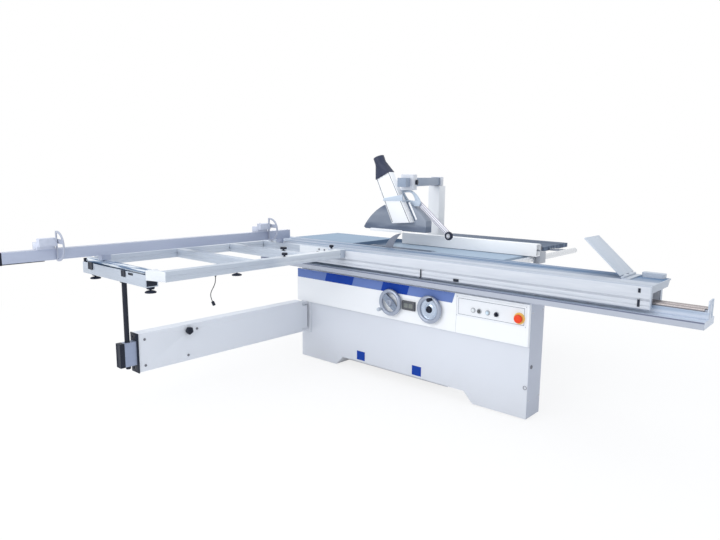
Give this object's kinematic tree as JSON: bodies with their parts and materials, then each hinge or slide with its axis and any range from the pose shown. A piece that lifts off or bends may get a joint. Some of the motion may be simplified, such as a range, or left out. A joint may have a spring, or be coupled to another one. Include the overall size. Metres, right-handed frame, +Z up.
{
  "type": "sliding table panel saw",
  "caption": "Floor-standing panel saw with a long sliding carriage, outrigger frame on a swing arm, crosscut and rip fences, tilting blade unit and an overhead guard.",
  "frame": {"origin": "on the floor under the middle of the main blade, on the underside of the cabinet", "axes": "+X along the sliding carriage towards the operator's end, +Y across the blade from the carriage to the rip fence, +Z up"},
  "size_m": [3.457, 3.6693, 1.5695],
  "materials": {
    "white_paint": "satin",
    "grey_paint": "satin",
    "light_blue": "satin",
    "dark_blue": "satin",
    "aluminium": "satin",
    "cast_iron": "ground",
    "steel": "satin",
    "black_plastic": "matt",
    "grey_plastic": "matt",
    "red_plastic": "gloss",
    "rubber": "matt"
  },
  "bodies": {
    "base": {"base_box": "white_paint", "levelling_pads": "rubber", "rear_cabinet": "white_paint", "dust_outlet": "grey_paint", "fascia": "white_paint", "light_blue_plates": "light_blue", "dark_blue_plates": "dark_blue", "control_panel": "white_paint", "readout": "black_plastic", "rail": "aluminium", "guide_rods": "steel", "arm_bracket": "white_paint", "table_main": "cast_iron", "table_insert": "steel", "table_extensions": "grey_paint", "guide_bar": "steel", "column": "white_paint"},
    "start": {"start_button": "grey_plastic"},
    "stop": {"stop_button": "grey_plastic"},
    "selector": {"selector_knob": "black_plastic"},
    "estop": {"estop_button": "red_plastic"},
    "raise_wheel": {"raise_handwheel": "steel"},
    "tilt_wheel": {"tilt_handwheel": "steel"},
    "tilt": {"tilt_frame": "grey_paint"},
    "rise": {"arbor_housing": "cast_iron", "motor": "grey_paint"},
    "blade": {"main_blade": "steel"},
    "drive": {"motor_pulley": "steel"},
    "scoring": {"scoring_blade": "steel"},
    "carriage": {"carriage": "aluminium", "carriage_fittings": "grey_paint", "outrigger_bars": "aluminium", "outer_beam": "aluminium", "frame_feet": "rubber", "frame_knobs": "black_plastic", "lead_cord": "rubber", "lead_fittings": "black_plastic"},
    "cage": {"roller_cage": "steel"},
    "roller": {"frame_roller": "aluminium"},
    "push": {"push_plate": "white_paint"},
    "crosscut": {"crosscut_fence": "aluminium"},
    "extension": {"fence_extension": "aluminium"},
    "outer_slider": {"outer_stop": "grey_plastic"},
    "outer_flip": {"outer_flag": "aluminium"},
    "inner_slider": {"inner_stop": "grey_plastic"},
    "inner_flip": {"inner_flag": "aluminium"},
    "arm": {"swing_arm": "white_paint", "arm_end_frame": "black_plastic"},
    "arm_knob": {"arm_lock_knob": "black_plastic"},
    "tube": {"inner_tube": "aluminium", "support_post": "black_plastic"},
    "rip": {"rip_carrier": "grey_paint"},
    "rip_lock": {"rip_lock_knob": "black_plastic"},
    "rip_profile": {"rip_fence": "white_paint"},
    "boom": {"boom": "white_paint"},
    "guard": {"guard_hood": "grey_paint", "guard_duct": "white_paint", "guard_hanger": "grey_paint"},
    "strut": {"guard_strut": "aluminium"},
    "rider": {"riding_wheel": "rubber"}
  },
  "joints": [
    {"name": "start_press", "type": "slide", "parent": "base", "child": "start", "axis": [0, 1, 0], "range_m": [0, 0.004], "stiffness_N_per_m": 600},
    {"name": "stop_press", "type": "slide", "parent": "base", "child": "stop", "axis": [0, 1, 0], "range_m": [0, 0.004], "stiffness_N_per_m": 600},
    {"name": "selector_turn", "type": "hinge", "parent": "base", "child": "selector", "pos_m": [1.015, -0.33, 0.616], "axis": [0, -1, 0], "range_deg": [0, 90]},
    {"name": "estop_press", "type": "slide", "parent": "base", "child": "estop", "axis": [0, 1, 0], "range_m": [0, 0.006]},
    {"name": "raise_wheel_turn", "type": "hinge", "parent": "base", "child": "raise_wheel", "pos_m": [0.223, -0.34, 0.575], "axis": [0, 1, 0], "range_deg": [0, 3600]},
    {"name": "tilt_wheel_turn", "type": "hinge", "parent": "base", "child": "tilt_wheel", "pos_m": [0.544, -0.34, 0.575], "axis": [0, 1, 0], "range_deg": [-7200, 0]},
    {"name": "unit_tilt", "type": "hinge", "parent": "base", "child": "tilt", "pos_m": [0, 0, 0.9], "axis": [1, 0, 0], "range_deg": [-45, 0]},
    {"name": "unit_rise", "type": "slide", "parent": "tilt", "child": "rise", "axis": [0, 0, 1], "range_m": [0, 0.1]},
    {"name": "blade_spin", "type": "hinge", "parent": "rise", "child": "blade", "pos_m": [0, 0, 0.72], "axis": [0, 1, 0], "continuous": true},
    {"name": "drive_spin", "type": "hinge", "parent": "rise", "child": "drive", "pos_m": [0, 0.11, 0.48], "axis": [0, 1, 0], "continuous": true},
    {"name": "scoring_spin", "type": "hinge", "parent": "tilt", "child": "scoring", "pos_m": [0.245, 0, 0.837], "axis": [0, 1, 0], "continuous": true},
    {"name": "carriage_slide", "type": "slide", "parent": "base", "child": "carriage", "axis": [1, 0, 0], "range_m": [-1.15, 1.5]},
    {"name": "cage_slide", "type": "slide", "parent": "base", "child": "cage", "axis": [1, 0, 0], "range_m": [-0.575, 0.75]},
    {"name": "roller_spin", "type": "hinge", "parent": "carriage", "child": "roller", "pos_m": [-0.7, -1.777, 0.878], "axis": [1, 0, 0], "continuous": true},
    {"name": "push_fold", "type": "hinge", "parent": "carriage", "child": "push", "pos_m": [1.684, -0.122, 0.908], "axis": [0, 1, 0], "range_deg": [-41, 45]},
    {"name": "fence_mitre", "type": "hinge", "parent": "carriage", "child": "crosscut", "pos_m": [-0.861, -0.374, 0.916], "axis": [0, 0, 1], "range_deg": [-45, 45]},
    {"name": "fence_extend", "type": "slide", "parent": "crosscut", "child": "extension", "axis": [0, -1, 0], "range_m": [0, 0.8]},
    {"name": "outer_stop_slide", "type": "slide", "parent": "crosscut", "child": "outer_slider", "axis": [0, 1, 0], "range_m": [0, 0.7]},
    {"name": "outer_stop_flip", "type": "hinge", "parent": "outer_slider", "child": "outer_flip", "pos_m": [-0.811, -2.0705, 1.04], "axis": [0, -1, 0], "range_deg": [0, 100]},
    {"name": "inner_stop_slide", "type": "slide", "parent": "crosscut", "child": "inner_slider", "axis": [0, 1, 0], "range_m": [-0.6, 0]},
    {"name": "inner_stop_flip", "type": "hinge", "parent": "inner_slider", "child": "inner_flip", "pos_m": [-0.811, -0.5165, 1.04], "axis": [0, -1, 0], "range_deg": [0, 100]},
    {"name": "arm_swing", "type": "hinge", "parent": "base", "child": "arm", "pos_m": [-0.649, -0.345, 0.339], "axis": [0, 0, 1], "range_deg": [-35, 46]},
    {"name": "arm_knob_turn", "type": "hinge", "parent": "arm", "child": "arm_knob", "pos_m": [-0.609, -1.375, 0.426], "axis": [1, 0, 0], "range_deg": [0, 180]},
    {"name": "tube_extend", "type": "slide", "parent": "arm", "child": "tube", "axis": [0, -1, 0], "range_m": [0, 0.75]},
    {"name": "rip_slide", "type": "slide", "parent": "base", "child": "rip", "axis": [0, 1, 0], "range_m": [-0.16, 0.55]},
    {"name": "rip_lock_turn", "type": "hinge", "parent": "rip", "child": "rip_lock", "pos_m": [0.94, 0.3703, 0.93], "axis": [0, 0, 1], "range_deg": [0, 180]},
    {"name": "rip_profile_slide", "type": "slide", "parent": "rip", "child": "rip_profile", "axis": [1, 0, 0], "range_m": [0, 0.3]},
    {"name": "boom_reach", "type": "slide", "parent": "base", "child": "boom", "axis": [-0.3686, 0.9296, 0], "range_m": [0, 0.2]},
    {"name": "guard_lift", "type": "slide", "parent": "boom", "child": "guard", "axis": [0, 0, 1], "range_m": [-0.07, 0]},
    {"name": "strut_lift", "type": "hinge", "parent": "guard", "child": "strut", "pos_m": [0.197, 0, 1.227], "axis": [0, -1, 0], "range_deg": [0, 30]},
    {"name": "rider_spin", "type": "hinge", "parent": "strut", "child": "rider", "pos_m": [0.456, 0, 1.02], "axis": [0, 1, 0], "continuous": true}
  ],
  "couplings": [
    {"joint": "unit_tilt", "follows": "tilt_wheel_turn", "ratio": 0.00625},
    {"joint": "unit_rise", "follows": "raise_wheel_turn", "m_per_rad": 0.0015915},
    {"joint": "drive_spin", "follows": "blade_spin", "ratio": 1.05},
    {"joint": "cage_slide", "follows": "carriage_slide", "ratio": 0.5},
    {"joint": "arm_swing", "follows": "carriage_slide", "rad_per_m": 0.53}
  ]
}
